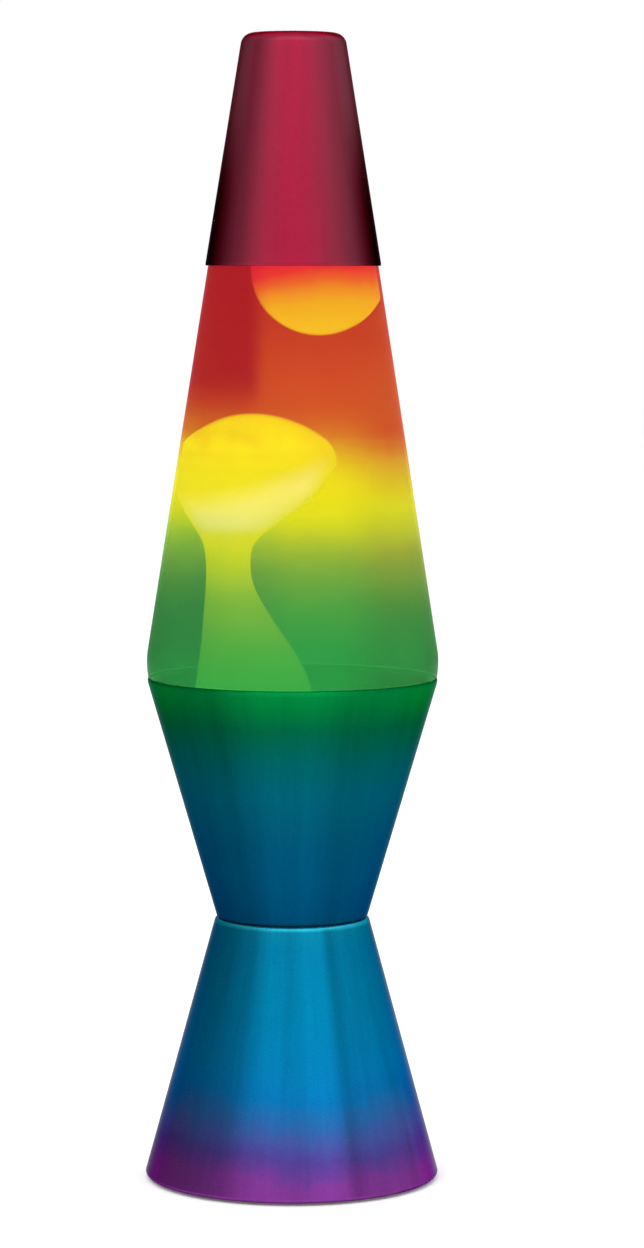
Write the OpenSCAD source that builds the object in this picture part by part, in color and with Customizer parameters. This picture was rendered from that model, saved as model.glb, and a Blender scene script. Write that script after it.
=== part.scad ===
// Liquid motion lamp, 14.5 inch class: a glass globe of liquid and wax that
// stands in a spun aluminium hourglass base, over a small screw-in bulb.
// Origin: centre of the underside, on the surface that the lamp stands on.
// +Z is up, -Y is the front and +Y the rear, where the cord enters.

/* [Overall] */
// Full height, from the surface to the top of the cap
lamp_h = 368.3; // [366:0.1:372]
// Height that the rubber feet hold the base rim off the surface
foot_gap = 0.8; // [0.6:0.1:1.2]

/* [Base] */
// Outer radius of the base rim
base_r = 47.7; // [47.5:0.1:48]
// Outer radius of the waist
waist_r = 24.6; // [24.5:0.1:25]
// Height of the joint between the two cones
waist_z = 85.1; // [84.8:0.1:85.4]
// Outer radius of the upper rim
rim_r = 46.6; // [46.5:0.1:46.8]
// Height of the upper rim
rim_z = 162.4; // [162.3:0.1:162.6]
// Thickness of the spun aluminium
sheet = 0.9; // [0.8:0.05:1.0]

/* [Globe] */
// Outer radius of the glass at the lower edge of the cap
glass_top_r = 27.22; // [27.1:0.02:27.3]
// Glass radius lost per millimetre of height
glass_taper = 0.1576; // [0.157:0.0001:0.158]
// Thickness of the glass
glass_t = 1.8; // [1.6:0.1:1.9]
// Level of the liquid
liquid_z = 326; // [324:1:328]
// Level of the wax that stays on the bottom
pool_z = 136; // [135:1:137]

/* [Cap] */
// Height of the cap's lower edge
cap_z = 294.5; // [294.3:0.1:294.7]
// Outer radius of the cap's lower edge
cap_r = 28.05; // [28.05:0.05:28.2]
// Thickness of the cap
cap_t = 0.45; // [0.4:0.05:0.5]
// Radius on the cap's top edge
cap_round = 4.0; // [3:0.5:6]

/* [Bulb and socket] */
// Height of the bulb's centre contact
tip_z = 41.5; // [41.4:0.1:41.6]
// Length of the bulb
bulb_l = 58.7; // [58:0.1:58.9]
// Radius of the bulb
bulb_r = 17.45; // [17:0.05:17.5]
// Thread pitch, 9 turns per inch
pitch = 2.822; // [2.80:0.001:2.84]

/* [Hidden] */
$fn = 96;
eps = 0.05;
cone_a = atan((base_r - waist_r) / (waist_z - foot_gap));      // lean of the lower cone
cup_m = (rim_r - waist_r) / (rim_z - waist_z - 1.1);           // radius gained per mm in the upper cone
cup_a = atan(cup_m);
cap_taper = 0.159;                                             // radius the cap loses per mm
gz = 112;                                                      // lowest point of the bottle

// ---------- profiles ----------
function unit(v) = v / norm(v);
// Polygon from [r, z, corner radius] points, with an arc at each corner
function arc_corner(a, b, c, r, n) =
    let (u = unit(a - b), v = unit(c - b), h = acos(max(-1, min(1, u * v))) / 2,
         t = r / tan(h), p = b + u * t, q = b + v * t,
         m = b + unit(u + v) * r / sin(h),
         a0 = atan2(p.y - m.y, p.x - m.x), a1 = atan2(q.y - m.y, q.x - m.x),
         d = a1 - a0, s = d > 180 ? d - 360 : d < -180 ? d + 360 : d)
    [for (i = [0:n]) m + r * [cos(a0 + s * i / n), sin(a0 + s * i / n)]];
function rounded(p, n = 5) =
    [for (i = [0:len(p) - 1])
        let (a = p[(i + len(p) - 1) % len(p)], b = p[i], c = p[(i + 1) % len(p)])
        each (b[2] == 0 ? [[b.x, b.y]] : arc_corner([a.x, a.y], [b.x, b.y], [c.x, c.y], b[2], n))];
module turned(p, n = 5) rotate_extrude() polygon(rounded(p, n));

function glass_r(z) = glass_top_r - glass_taper * (z - cap_z);
function cup_in(z) = waist_r + cup_m * (z - waist_z - 1.1) - sheet / cos(cup_a);
function bore_r(z) = glass_r(z) - glass_t / cos(atan(glass_taper));
function cone_out(z) = waist_r + (base_r - waist_r) * (waist_z - z) / (waist_z - foot_gap);

// ---------- cap ----------
module top_cap() color([0.72, 0.10, 0.26]) {
    h = lamp_h - cap_z;
    r1 = cap_r - cap_taper * h;
    ti = cap_t / cos(atan(cap_taper));
    turned([[0, lamp_h, 0], [r1, lamp_h, cap_round], [cap_r, cap_z, 0.2],
            [cap_r - ti, cap_z, 0.2], [r1 - ti + cap_taper * cap_t, lamp_h - cap_t, cap_round - cap_t],
            [0, lamp_h - cap_t, 0]], 8);
}

// ---------- globe ----------
lip_z = 351.5;
module bottle_outer() {
    m = glass_taper;
    turned([[0, gz + 5, 0], [14, gz + 4, 12], [21.5, gz + 0.1, 1.5], [24.5, gz, 1.5],
            [cup_in(gz) - 1.25, gz, 5], [cup_in(rim_z - 0.7) - 1.25, rim_z - 0.7, 1.5],
            [45.0, rim_z + 0.32, 0.5], [46.35, rim_z + 0.55, 0.8], [glass_r(168), 168, 26],
            [glass_r(330), 330, 22], [glass_r(330) - 2.6, 337.5, 4], [12.9, 341, 4],
            [12.9, 345.2, 0.8], [13.4, 346, 0.5], [13.4, 351, 1.2], [12.4, lip_z, 0.8], [9.2, lip_z, 1.0],
            [9.0, 340, 0], [0, 340, 0]], 6);
}
function bore_points(top) = concat(
    [[0, gz + 7.6, 0], [13.6, gz + 6.6, 12], [21.0, gz + 2.7, 1.2], [cup_in(gz + 2.7) - 3.2, gz + 2.7, 3.2],
     [cup_in(rim_z - 2) - 3.2, rim_z - 2, 4], [bore_r(168) - 0.25, 167.6, 22]],
    top > 330 ? [[bore_r(329), 329, 18], [bore_r(329) - 2.4, 334.6, 4], [9.2, 338.5, 4], [9.2, top, 0]]
              : [[bore_r(top), top, 0]],
    [[0, top, 0]]);
module globe_bottle() color([0.85, 0.93, 0.93, 0.35]) difference() {
    bottle_outer();
    turned(bore_points(lip_z + 5), 6);
}
module crown_liner() color([0.92, 0.92, 0.88])
    turned([[0, lip_z + 0.1, 0], [12.7, lip_z + 0.1, 0.3], [12.9, lip_z + 0.9, 0.4], [0, lip_z + 0.9, 0]], 3);
module crown_cap() color([0.80, 0.72, 0.42]) difference() {
    union() {
        turned([[0, 340, 0], [13.9, 340, 0], [13.9, lip_z + 1.25, 1.2], [0, lip_z + 1.25, 0]], 5);
        // crimped skirt: 21 flutes round the lip
        for (i = [0:20]) rotate(i * 360 / 21) translate([13.55, 0, 346.2]) cylinder(r = 1.15, h = 4.6, $fn = 24);
    }
    turned([[0, 330, 0], [13.55, 330, 0], [13.55, lip_z + 0.95, 0.9], [0, lip_z + 0.95, 0]], 4);
    translate([0, 0, 335]) cylinder(r = 20, h = 10.9);
}

// The wax that rises: [height, centre x, centre y, radius]
wax_rings = [[pool_z - 0.5, -6, 0, 27], [140, -7.5, 0, 24.5], [146, -9.5, 0, 22], [152, -11, 0, 20.3],
    [158, -12.4, 0, 19], [164, -13.1, 0, 17.6], [171.5, -14.7, 0, 15.2], [181, -17.6, 0, 11.4],
    [190.5, -20, 0, 8.3], [198.5, -20.8, 0, 7.2], [205.5, -20.4, 0, 8.5], [212, -18.5, 0, 13.6],
    [217, -16, 0, 18.8], [222, -13.8, 0, 22.2], [227, -11.8, 0, 23.6], [232, -10.4, 0, 24.2],
    [237.5, -10.4, 0, 22.4], [242.3, -10.8, 0, 17], [245.8, -11.4, 0, 10.4], [247.3, -11.8, 0, 4.6]];
module ringed(rings, n) {
    m = len(rings);
    pts = [for (g = rings) for (i = [0:n - 1]) [g[1] + g[3] * cos(360 * i / n), g[2] + g[3] * sin(360 * i / n), g[0]]];
    sides = [for (k = [0:m - 2]) for (i = [0:n - 1]) [k * n + i, k * n + (i + 1) % n, (k + 1) * n + (i + 1) % n, (k + 1) * n + i]];
    tris = [for (q = sides) each [[q[0], q[2], q[1]], [q[0], q[3], q[2]]]];
    polyhedron(pts, concat([[for (i = [0:n - 1]) i]], tris, [[for (i = [0:n - 1]) (m - 1) * n + n - 1 - i]]));
}
module wax_column() ringed(wax_rings, 24);
module wax_rising() color([0.95, 0.90, 0.35]) {
    difference() {
        intersection() {
            translate([0, 0, 100]) cylinder(r = 60, h = pool_z - 100);
            turned([for (p = bore_points(liquid_z)) [max(0, p[0] - (p[0] > 0 ? eps : 0)), p[1] + (p[1] < 120 ? eps : 0), p[2]]], 6);
        }
        rotate_extrude() translate([coil_r, coil_z]) circle(r = 4.1, $fn = 32);
    }
    wax_column();
}
module blob() intersection() {
    translate([8.5, 0, 294.5]) sphere(r = 22.3);
    rotate_extrude() polygon([[0, 260], [bore_r(260) - 0.35, 260], [bore_r(320) - 0.35, 320], [0, 320]]);
}
module wax_top_blob() color([0.98, 0.55, 0.15]) blob();
module globe_liquid() color([0.85, 0.55, 0.20, 0.5]) difference() {
    intersection() {
        translate([0, 0, pool_z + eps]) cylinder(r = 60, h = 300);
        turned([for (p = bore_points(liquid_z)) [max(0, p[0] - (p[0] > 0 ? eps : 0)), p[1], p[2]]], 6);
    }
    wax_column();
    blob();
}

// Wire wound into a small coil and closed into a ring, which lies in the wax
coil_r = 22.5; coil_z = gz + 7.4; coil_turns = 26; coil_steps = 8; wire_sides = 6;
function coil_at(t) = let (a = 360 * t, b = 360 * coil_turns * t, r = coil_r + 3.4 * cos(b)) [r * cos(a), r * sin(a), coil_z + 3.4 * sin(b)];
module heating_coil() color([0.55, 0.55, 0.56]) {
    n = coil_turns * coil_steps;
    pts = [for (k = [0:n - 1]) let (p = coil_at(k / n), q = coil_at((k + 0.5) / n), o = coil_at((k - 0.5) / n),
             d = unit(q - o), m = [coil_r * cos(360 * k / n), coil_r * sin(360 * k / n), coil_z],
             u = unit((p - m) - d * ((p - m) * d)), v = cross(d, u))
           for (i = [0:wire_sides - 1]) p + 0.45 * (u * cos(360 * i / wire_sides) + v * sin(360 * i / wire_sides))];
    tris = [for (k = [0:n - 1]) for (i = [0:wire_sides - 1])
            let (a = k * wire_sides + i, b = k * wire_sides + (i + 1) % wire_sides,
                 c = ((k + 1) % n) * wire_sides + (i + 1) % wire_sides, e = ((k + 1) % n) * wire_sides + i)
            each [[a, c, b], [a, e, c]]];
    polyhedron(pts, tris);
}

// ---------- base ----------
hole_r = 18.7;                                   // the bulb passes through the waist
screw_r = 21.2;                                  // radius of the waist screws' circle
cord_z = 21;
cord_r = cone_out(cord_z);
module at_cord() translate([0, cord_r, cord_z]) rotate([-90 + cone_a, 0, 0]) children();
module waist_holes(r) for (i = [0:3]) rotate(i * 90) translate([screw_r, 0, waist_z - 5]) cylinder(r = r, h = 10, $fn = 32);
module base_lower_cone() color([0.05, 0.45, 0.65]) difference() {
    t = sheet / cos(cone_a);
    union() {
        turned([[hole_r, waist_z, 0], [waist_r + 0.15, waist_z, 1.7], [cone_out(2.2), 2.2, 0],
                [cone_out(2.2) - t, 2.2, 0], [waist_r - t + 0.35, waist_z - sheet, 0.8], [hole_r, waist_z - sheet, 0]], 6);
        // rolled rim
        rotate_extrude() translate([cone_out(2.2) - 1.05, foot_gap + 1.1]) circle(r = 1.1, $fn = 32);
    }
    waist_holes(1.4);
    at_cord() translate([0, 0, -4]) cylinder(r = 5.0, h = 8, $fn = 48);
}
module base_upper_cone() color([0.0, 0.38, 0.42]) difference() {
    z = waist_z + 0.02;
    ti = sheet / cos(cup_a);
    turned([[hole_r, z, 0], [waist_r - 0.3, z, 0.9], [rim_r, rim_z, 0.4], [rim_r - ti, rim_z, 0.35],
            [waist_r - 0.3 - ti + cup_m * sheet, z + sheet, 0.5], [hole_r, z + sheet, 0]], 6);
    waist_holes(1.4);
}
module hex(af, h) cylinder(r = af / 2 / cos(30), h = h, $fn = 6);
head_z = waist_z + sheet + 0.07;
module waist_screws() color([0.75, 0.76, 0.78])
    for (i = [0:3]) rotate(i * 90) translate([screw_r, 0, 0]) difference() {
        union() {
            translate([0, 0, head_z]) turned([[0, 0, 0], [2.2, 0, 0.2], [2.2, 1.5, 0.8], [0, 1.6, 0]], 4);
            translate([0, 0, head_z - 7]) cylinder(r = 1.22, h = 7.2, $fn = 32);
        }
        translate([0, 0, head_z + 1.1]) for (a = [0, 90]) rotate(a) cube([2.6, 0.6, 1.6], center = true);
    }
tab_t = 1.2;
tab_z = waist_z - sheet - 0.07 - tab_t;          // underside of the bracket's tabs
module waist_nuts() color([0.70, 0.71, 0.73])
    for (i = [0:3]) rotate(i * 90) translate([screw_r, 0, i % 2 == 0 ? tab_z - 2.05 : tab_z + tab_t - 2.0]) difference() {
        hex(5, 1.95);
        translate([0, 0, -1]) cylinder(r = 1.27, h = 5, $fn = 32);
    }

// ---------- socket and its bracket ----------
web_z = 32.8;                                    // top of the bracket's web
module socket_bracket() color([0.72, 0.73, 0.75]) difference() {
    union() {
        for (s = [-1, 1]) {
            translate([s > 0 ? 18.9 : -23.3, -5, tab_z]) cube([4.4, 10, tab_t]);
            translate([s > 0 ? 18.9 : -20.1, -5, web_z - tab_t]) cube([1.2, 10, tab_z + tab_t - web_z + tab_t]);
        }
        translate([-20.1, -5, web_z - tab_t]) cube([40.2, 10, tab_t]);
        translate([0, 0, web_z - tab_t]) cylinder(r = 12.5, h = tab_t);
    }
    for (s = [0, 180]) rotate(s) translate([screw_r, 0, tab_z - 1]) cylinder(r = 1.4, h = 5, $fn = 32);
    // window in each leg, which clears the nut and the screw's end
    for (s = [0, 180]) rotate(s) translate([18, -3, tab_z - 4.3]) cube([3, 6, 4.3]);
    translate([0, 0, web_z - 3]) cylinder(r = 2.6, h = 6, $fn = 32);
    for (s = [-1, 1]) translate([s * 8.8, 0, web_z - 3]) cylinder(r = 1.4, h = 6, $fn = 32);
}
shell_z = 46.3;                                  // lower end of the socket's screw shell
socket_top = 62;
module socket_body() color([0.92, 0.90, 0.86]) difference() {
    turned([[0, web_z + 0.05, 0], [13.2, web_z + 0.05, 0.8], [13.2, web_z + 6, 0.8], [12.4, web_z + 6.8, 0.3],
            [12.4, socket_top, 1.2], [9.75, socket_top, 0.6], [9.75, shell_z - 0.1, 0],
            [8.65, shell_z - 0.1, 0], [8.65, shell_z - 1.1, 0], [7.4, shell_z - 2.4, 0], [7.4, 39.6, 0.6], [0, 39.6, 0]], 4);
    translate([0, 0, web_z - 1]) cylinder(r = 5.2, h = 5.2);                       // room for the bolt head
    for (s = [-1, 1]) translate([s * 8.8, 0, web_z - 1]) cylinder(r = 1.22, h = 6, $fn = 32);
    for (s = [-1, 1]) translate([0, s * 11.3, 41.5]) cube([6, 4.6, 7], center = true);  // terminal recesses
    for (s = [-1, 1]) translate([0, s * 8, 41.5]) rotate([90, 0, 0]) cylinder(r = 1.1, h = 4, center = true, $fn = 24);
}
module socket_screws() color([0.75, 0.76, 0.78])
    for (s = [-1, 1]) translate([s * 8.8, 0, 0]) difference() {
        union() {
            translate([0, 0, web_z - tab_t - 1.75]) turned([[0, 0, 0], [2.3, 0.1, 0.8], [2.3, 1.7, 0.1], [0, 1.7, 0]], 4);
            translate([0, 0, web_z - tab_t - 0.3]) cylinder(r = 1.2, h = 6, $fn = 32);
        }
        translate([0, 0, web_z - tab_t - 1.6]) cube([3.2, 0.6, 1.2], center = true);
    }
module socket_terminals() color([0.80, 0.62, 0.25])
    for (s = [-1, 1]) scale([1, s, 1]) translate([0, 0, 41.5]) {
        translate([-2.6, 9.05, -3.2]) cube([5.2, 0.8, 6.4]);
        translate([0, 9.85, 0]) rotate([-90, 0, 0]) difference() {
            turned([[0, 0, 0], [2.0, 0, 0.1], [2.0, 1.2, 0.4], [0, 1.4, 0]], 3);
            translate([0, 0, 1.2]) cube([4.4, 0.6, 1.0], center = true);
        }
    }
// Rolled lamp thread as a wave on a cylinder: radius at angle a and height z.
// The wave runs out to its crest (end 1) or its root (end -1) at both ends.
function fade(z, z0, z1, w) = max(0, min(1, min(z - z0, z1 - z) / w));
function wave_r(a, z, mean, amp, z0, z1, end) = let (f = fade(z, z0, z1, 1.2))
    mean + amp * (f * cos(360 * (z - tip_z) / pitch - a) + (1 - f) * end);
module threaded(z0, z1, mean, amp, cols, rows) {
    pts = concat([for (k = [0:rows]) for (i = [0:cols - 1]) let (z = z0 + (z1 - z0) * k / rows, a = 360 * i / cols, r = wave_r(a, z, mean, amp, z0, z1, -1)) [r * cos(a), r * sin(a), z]]);
    tris = [for (k = [0:rows - 1]) for (i = [0:cols - 1])
            let (a = k * cols + i, b = k * cols + (i + 1) % cols, c = a + cols, d = b + cols) each [[a, c, d], [a, d, b]]];
    polyhedron(pts, concat([[for (i = [0:cols - 1]) i]], tris, [[for (i = [0:cols - 1]) rows * cols + cols - 1 - i]]));
}
function wave_points(z0, z1, mean, amp, cols, rows, s) =
    [for (k = [0:rows]) for (i = [0:cols - 1]) let (z = z0 + (z1 - z0) * k / rows, a = 360 * i / cols, r = wave_r(a, z, mean, amp, z0, z1, 1) + s) [r * cos(a), r * sin(a), z]];
// A thin sleeve with that wave on both faces
module threaded_sleeve(z0, z1, mean, amp, wall, cols, rows) {
    n = cols * (rows + 1);
    pts = concat(wave_points(z0, z1, mean, amp, cols, rows, wall), wave_points(z0, z1, mean, amp, cols, rows, 0));
    out = [for (k = [0:rows - 1]) for (i = [0:cols - 1])
            let (a = k * cols + i, b = k * cols + (i + 1) % cols, c = a + cols, d = b + cols) each [[a, c, d], [a, d, b]]];
    inn = [for (t = out) [n + t[0], n + t[2], n + t[1]]];
    lo = [for (i = [0:cols - 1]) let (a = i, b = (i + 1) % cols) each [[a, b, n + b], [a, n + b, n + a]]];
    hi = [for (i = [0:cols - 1]) let (a = rows * cols + i, b = rows * cols + (i + 1) % cols) each [[a, n + b, b], [a, n + a, n + b]]];
    polyhedron(pts, concat(out, inn, lo, hi));
}
module socket_screw_shell() color([0.82, 0.68, 0.35])
    threaded_sleeve(shell_z, 60.6, 8.27, 0.33, 0.5, 28, 36);
module socket_centre_contact() color([0.80, 0.55, 0.30]) {
    translate([-2.4, -6.6, 39.65]) cube([4.8, 13.2, 0.4]);
    translate([-2.0, -6.6, 39.9]) cube([4.0, 0.5, 1.6]);
    translate([-2.0, -6.6, 41.0]) cube([4.0, 9.4, 0.4]);
}

// ---------- bulb ----------
neck_z = tip_z + 17;
top_z = tip_z + bulb_l;
function bulb_pts(s) =
    [[0, neck_z - 5 + s, 0], [7.2 - s, neck_z - 5 + s, 0], [7.2 - s, neck_z + 1, 3], [9.6 - s, neck_z + 6, 6],
     [bulb_r - s, tip_z + 33.5, 12], [bulb_r - s, tip_z + 41, 4], [bulb_r * 0.88 - s, tip_z + 52.5, 9], [8.6, top_z - s, 8], [0, top_z - s, 0]];
module bulb_envelope() color([0.95, 0.95, 0.92, 0.3]) difference() {
    turned(bulb_pts(0), 7);
    turned(bulb_pts(0.7), 7);
}
cap_z0 = tip_z + 3.2; cap_z1 = tip_z + 16;
module bulb_screw_cap() color([0.80, 0.80, 0.78]) difference() {
    union() {
        threaded(cap_z0, cap_z1, 7.95, 0.33, 28, 36);
        translate([0, 0, cap_z1 - 0.05]) cylinder(r = 7.66, h = 1.6, $fn = 28);
    }
    translate([0, 0, cap_z0 + 1.0]) cylinder(r = 7.26, h = 20, $fn = 28);
    translate([0, 0, cap_z0 - 1.0]) cylinder(r = 5.55, h = 4, $fn = 28);
}
module bulb_insulator() color([0.06, 0.06, 0.07]) difference() {
    turned([[0, tip_z + 1.0, 0], [2.6, tip_z + 1.0, 0.3], [6.6, cap_z0 - 0.1, 0.3], [5.45, cap_z0 - 0.05, 0],
            [5.45, cap_z0 + 1.0, 0], [0, cap_z0 + 1.0, 0]], 3);
    translate([0, 0, tip_z - 1]) cylinder(r = 1.25, h = 10, $fn = 32);
}
module bulb_contact_tip() color([0.78, 0.78, 0.80])
    turned([[0, tip_z, 0], [2.2, tip_z, 0.7], [2.2, tip_z + 0.95, 0], [1.2, tip_z + 0.95, 0], [1.2, cap_z0 + 0.9, 0], [0, cap_z0 + 0.9, 0]], 4);
stem_top = tip_z + 31;
module bulb_stem() color([0.85, 0.90, 0.88, 0.4]) {
    turned([[0, neck_z - 3.6, 0], [5.6, neck_z - 3.6, 0.4], [5.6, neck_z - 2.8, 0.4], [2.4, neck_z - 0.5, 2], [1.6, neck_z + 9, 1], [1.6, stem_top, 0.6], [0, stem_top, 0]], 4);
}
module rod(a, b, r, n = 12) {
    d = b - a; l = norm(d);
    translate(a) rotate([0, acos(d.z / l), atan2(d.y, d.x)]) cylinder(r = r, h = l, $fn = 16);
}
fil_z = tip_z + 39;
module bulb_lead_wires() color([0.70, 0.62, 0.50]) for (s = [-1, 1]) {
    rod([s * 1.75, 0, neck_z + 9.5], [s * 2.4, 0, stem_top + 0.5], 0.2);
    rod([s * 2.4, 0, stem_top + 0.35], [s * 8.2, 0, fil_z], 0.2);
}
module bulb_filament() color([0.95, 0.75, 0.35]) {
    // a slack arc between the lead wires
    translate([0, 0, fil_z - 2.9]) rotate([90, 0, 0]) rotate_extrude(angle = 134, start = 23) translate([8.9, 0]) circle(r = 0.3, $fn = 16);
}

// ---------- cord entry ----------
module cord_bushing() color([0.05, 0.05, 0.05]) at_cord() difference() {
    turned([[0, -4.4, 0], [6.3, -4.4, 0.6], [6.3, -1.6, 0.3], [4.9, -1.55, 0], [4.9, 0.1, 0],
            [7.0, 0.1, 0.3], [7.0, 1.4, 0.8], [4.9, 2.6, 0.6], [0, 2.6, 0]], 4);
    translate([0, 0, -8]) cylinder(r = 3.3, h = 16, $fn = 48);
}

// ---------- underside ----------
cover_z = 1.8;
module bottom_cover() color([0.10, 0.10, 0.11]) difference() {
    union() {
        turned([[0, cover_z, 0], [44.3, cover_z, 0.5], [44.3, cover_z + 1.8, 0.5], [42.4, cover_z + 1.8, 0],
                [42.4, cover_z + 4.4, 0.5], [40.9, cover_z + 4.4, 0.5], [40.9, cover_z + 1.8, 0], [0, cover_z + 1.8, 0]], 4);
        translate([0, 0, cover_z]) cylinder(r = 11.4, h = 8.2);
    }
    translate([0, 0, cover_z - 1]) cylinder(r = 9.6, h = 7.4);                     // recess for the nut
    translate([0, 0, cover_z]) cylinder(r = 2.7, h = 20, $fn = 32);
    for (i = [0:11]) rotate(i * 30 + 15) translate([22, 0, cover_z - 1]) {  // air slots
        translate([-5.5, -1.5, 0]) cube([11, 3, 6]);
        for (x = [-5.5, 5.5]) translate([x, 0, 0]) cylinder(r = 1.5, h = 6, $fn = 24);
    }
}
module rubber_feet() color([0.12, 0.12, 0.12])
    for (i = [0:3]) rotate(45 + 90 * i) translate([35.5, 0, 0])
        turned([[0, 0, 0], [4.6, 0, 0.5], [5.0, cover_z - 0.02, 0], [0, cover_z - 0.02, 0]], 3);
recess_top = cover_z + 6.4;
module tie_bolt() color([0.75, 0.76, 0.78]) {
    translate([0, 0, web_z + 0.05]) difference() { hex(8, 3.2); translate([0, 0, 3.0]) cylinder(r = 2.2, h = 1, $fn = 32); }
    translate([0, 0, 2.6]) cylinder(r = 2.45, h = web_z + 0.2 - 2.6, $fn = 48);
}
module tie_washer() color([0.78, 0.79, 0.80]) difference() {
    translate([0, 0, recess_top - 0.95]) cylinder(r = 6.5, h = 0.9, $fn = 64);
    translate([0, 0, recess_top - 3]) cylinder(r = 2.6, h = 6, $fn = 32);
}
module tie_nut() color([0.75, 0.76, 0.78]) difference() {
    translate([0, 0, recess_top - 4.85]) hex(8, 3.8);
    translate([0, 0, recess_top - 7]) cylinder(r = 2.5, h = 9, $fn = 48);
}

top_cap();
crown_cap();
crown_liner();
globe_bottle();
globe_liquid();
wax_rising();
wax_top_blob();
heating_coil();
base_upper_cone();
base_lower_cone();
waist_screws();
waist_nuts();
socket_bracket();
socket_screws();
socket_body();
socket_screw_shell();
socket_centre_contact();
socket_terminals();
bulb_envelope();
bulb_screw_cap();
bulb_insulator();
bulb_contact_tip();
bulb_stem();
bulb_lead_wires();
bulb_filament();
cord_bushing();
bottom_cover();
tie_bolt();
tie_washer();
tie_nut();
rubber_feet();
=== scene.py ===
import math

import bpy
from mathutils import Euler, Matrix, Vector, noise


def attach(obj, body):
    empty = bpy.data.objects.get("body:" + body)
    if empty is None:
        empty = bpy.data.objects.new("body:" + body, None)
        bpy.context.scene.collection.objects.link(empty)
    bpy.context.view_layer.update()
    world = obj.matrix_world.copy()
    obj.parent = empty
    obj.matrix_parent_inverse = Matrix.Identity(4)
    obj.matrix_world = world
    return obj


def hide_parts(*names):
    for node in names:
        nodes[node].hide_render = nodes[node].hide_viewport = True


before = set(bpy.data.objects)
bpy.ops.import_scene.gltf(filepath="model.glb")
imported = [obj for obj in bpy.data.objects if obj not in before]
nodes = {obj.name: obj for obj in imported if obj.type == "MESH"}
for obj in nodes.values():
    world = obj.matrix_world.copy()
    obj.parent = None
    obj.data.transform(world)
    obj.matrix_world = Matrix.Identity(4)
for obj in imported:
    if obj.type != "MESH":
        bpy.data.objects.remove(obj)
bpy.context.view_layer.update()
scene = bpy.context.scene
MM = 0.001

# ---------------------------------------------------------------- dimensions (mm), as in part.scad
LAMP_H, FOOT = 368.3, 0.8
BASE_R, WAIST_R, WAIST_Z = 47.7, 24.6, 85.1
RIM_R, RIM_Z, SHEET = 46.6, 162.4, 0.9
GLASS_TOP_R, GLASS_TAPER, GLASS_SEEN = 27.22, 0.1576, 0.7
CAP_Z, CAP_R, CAP_T, CAP_TAPER, CAP_ROUND = 294.5, 28.05, 0.45, 0.159, 4.0
LIQUID_Z, POOL_Z, GZ, LIP_Z = 326.0, 136.0, 112.0, 351.5
CONE_A = math.atan((BASE_R - WAIST_R) / (WAIST_Z - FOOT))
CUP_M = (RIM_R - WAIST_R) / (RIM_Z - WAIST_Z - 1.1)
CUP_A = math.atan(CUP_M)


def cone_out(z):
    return WAIST_R + (BASE_R - WAIST_R) * (WAIST_Z - z) / (WAIST_Z - FOOT)


def cup_in(z):
    return WAIST_R + CUP_M * (z - WAIST_Z - 1.1) - SHEET / math.cos(CUP_A)


def glass_r(z):
    return GLASS_TOP_R - GLASS_TAPER * (z - CAP_Z)


def bore_r(z):
    """The bottle is drawn without bending light, so its inside is drawn close to its outside, where bent light would show it."""
    return glass_r(z) - GLASS_SEEN / math.cos(math.atan(GLASS_TAPER))


# ---------------------------------------------------------------- colour helpers
def lin(h):
    """Linear colour of a hex triplet."""
    v = [int(h[i:i + 2], 16) / 255 for i in (0, 2, 4)]
    return tuple(c / 12.92 if c <= 0.04045 else ((c + 0.055) / 1.055) ** 2.4 for c in v)


def sample(stops, z):
    """A colour between [(height, colour)] stops, which rise in height."""
    if z <= stops[0][0]:
        return stops[0][1]
    for (z0, c0), (z1, c1) in zip(stops, stops[1:]):
        if z <= z1:
            t = (z - z0) / (z1 - z0)
            t = t * t * (3 - 2 * t) if z1 - z0 < 12 else t
            return tuple(a + (b - a) * t for a, b in zip(c0, c1))
    return stops[-1][1]


# ---------------------------------------------------------------- mesh helpers
def fillet(points, steps=8):
    """[(r, z, corner radius)] to a list of (r, z), with an arc at each corner."""
    out = []
    n = len(points)
    for i, (bx, bz, r) in enumerate(points):
        if r <= 0:
            out.append((bx, bz))
            continue
        a = Vector(points[i - 1][:2])
        b = Vector((bx, bz))
        c = Vector(points[(i + 1) % n][:2])
        u, v = (a - b).normalized(), (c - b).normalized()
        h = math.acos(max(-1, min(1, u.dot(v)))) / 2
        t = r / math.tan(h)
        p, q = b + u * t, b + v * t
        m = b + (u + v).normalized() * r / math.sin(h)
        a0, a1 = math.atan2(p.y - m.y, p.x - m.x), math.atan2(q.y - m.y, q.x - m.x)
        d = a1 - a0
        d = d - 2 * math.pi if d > math.pi else d + 2 * math.pi if d < -math.pi else d
        for k in range(steps + 1):
            w = a0 + d * k / steps
            out.append((m.x + r * math.cos(w), m.y + r * math.sin(w)))
    return out


def finer(profile, step):
    """Splits long straight runs, so that shading and bumps stay even."""
    out = []
    for i, p in enumerate(profile):
        q = profile[(i + 1) % len(profile)]
        d = math.hypot(q[0] - p[0], q[1] - p[1])
        n = max(1, int(d / step))
        for k in range(n):
            out.append((p[0] + (q[0] - p[0]) * k / n, p[1] + (q[1] - p[1]) * k / n))
    return out


def mesh_object(name, verts, faces, angle=40):
    me = bpy.data.meshes.new(name)
    me.from_pydata(verts, [], faces)
    me.validate()
    me.shade_smooth()
    me.set_sharp_from_angle(angle=math.radians(angle))
    ob = bpy.data.objects.new(name, me)
    scene.collection.objects.link(ob)
    return ob


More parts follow.
